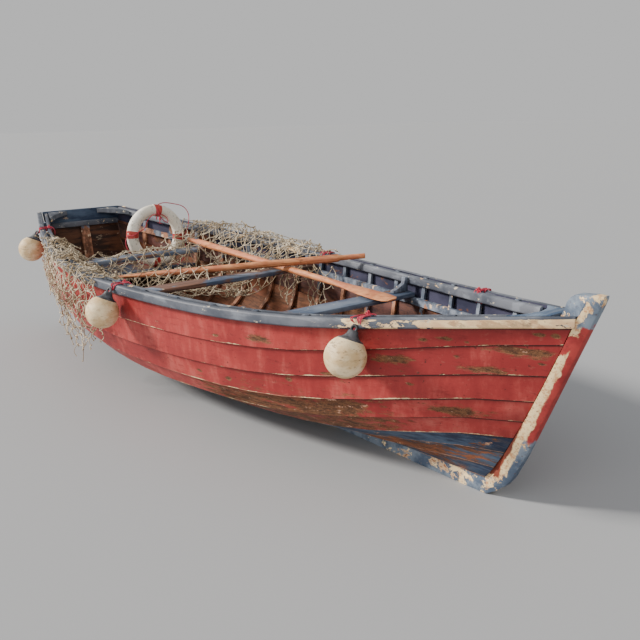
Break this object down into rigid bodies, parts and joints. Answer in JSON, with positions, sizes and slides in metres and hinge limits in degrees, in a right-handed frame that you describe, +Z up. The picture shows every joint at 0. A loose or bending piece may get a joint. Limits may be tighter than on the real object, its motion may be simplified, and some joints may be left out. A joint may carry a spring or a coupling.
{
  "type": "abandoned clinker rowing boat",
  "caption": "Open clinker-built wooden rowing boat with worn paint, left with its oars, life ring, ball fenders and a fishing net aboard.",
  "frame": {"origin": "on the centreline at the waterline, 3.0 m forward of the transom's top and 0.3 m above the underside of the keel", "axes": "+X towards the bow, along the keel; +Y to port; +Z up"},
  "size_m": [6, 2.2938, 1.1995],
  "materials": {
    "topside_paint": "sun-faded red paint, worn through to primer and brown wood along the plank edges",
    "bottom_paint": "worn blue bottom paint with bare orange-brown wood showing through",
    "stem_paint": "cream primer with the remains of red, blue and grey paint",
    "transom_paint": "worn blue paint over brown boards",
    "gunwale_paint": "chalky grey-blue paint, chipped to cream primer",
    "thwart_paint": "grey-blue paint worn to bare wood where people sat",
    "floor_paint": "scuffed blue paint",
    "frame_wood": "dark weathered wood with traces of paint",
    "oar_wood": "dry orange-brown wood, greyed and stained",
    "ring_plastic": "chalky off-white with faded red bands",
    "fender_plastic": "sun-yellowed cream ball with a dark grey cone and eye",
    "net_twine": "frayed grey-beige knotted twine",
    "lashing_cord": "faded pink-red cord",
    "iron_fastening": "rusted nail and bolt heads"
  },
  "bodies": {
    "root": {"keel": "bottom_paint", "stem_post": "stem_paint", "transom": "transom_paint", "port_strake_1": "bottom_paint", "starboard_strake_1": "bottom_paint", "port_strake_2": "bottom_paint", "starboard_strake_2": "bottom_paint", "port_strake_3": "bottom_paint", "starboard_strake_3": "bottom_paint", "port_strake_4": "topside_paint", "starboard_strake_4": "topside_paint", "port_strake_5": "topside_paint", "starboard_strake_5": "topside_paint", "port_strake_6": "topside_paint", "starboard_strake_6": "topside_paint", "port_strake_7": "topside_paint", "starboard_strake_7": "topside_paint", "port_strake_8": "topside_paint", "starboard_strake_8": "topside_paint", "port_frames": "frame_wood", "starboard_frames": "frame_wood", "port_outwale": "gunwale_paint", "starboard_outwale": "gunwale_paint", "port_inwale": "gunwale_paint", "starboard_inwale": "gunwale_paint", "breasthook": "gunwale_paint", "port_quarter_knee": "gunwale_paint", "starboard_quarter_knee": "gunwale_paint", "transom_ledge": "gunwale_paint", "transom_post": "frame_wood", "aft_thwart": "thwart_paint", "middle_thwart": "thwart_paint", "forward_thwart": "thwart_paint", "port_middle_thwart_knee": "gunwale_paint", "starboard_middle_thwart_knee": "gunwale_paint", "port_forward_thwart_knee": "gunwale_paint", "starboard_forward_thwart_knee": "gunwale_paint", "stern_bench": "thwart_paint", "centre_floor_board": "floor_paint", "port_floor_board": "frame_wood", "starboard_floor_board": "frame_wood", "crossed_oar": "oar_wood", "long_oar": "oar_wood", "life_ring": "ring_plastic", "port_fender_aft": "fender_plastic", "starboard_fender_aft": "fender_plastic", "port_fender_middle": "fender_plastic", "starboard_fender_middle": "fender_plastic", "port_fender_forward": "fender_plastic", "starboard_fender_forward": "fender_plastic", "net_curtain": "net_twine", "net_heap": "net_twine"}
  },
  "joints": []
}
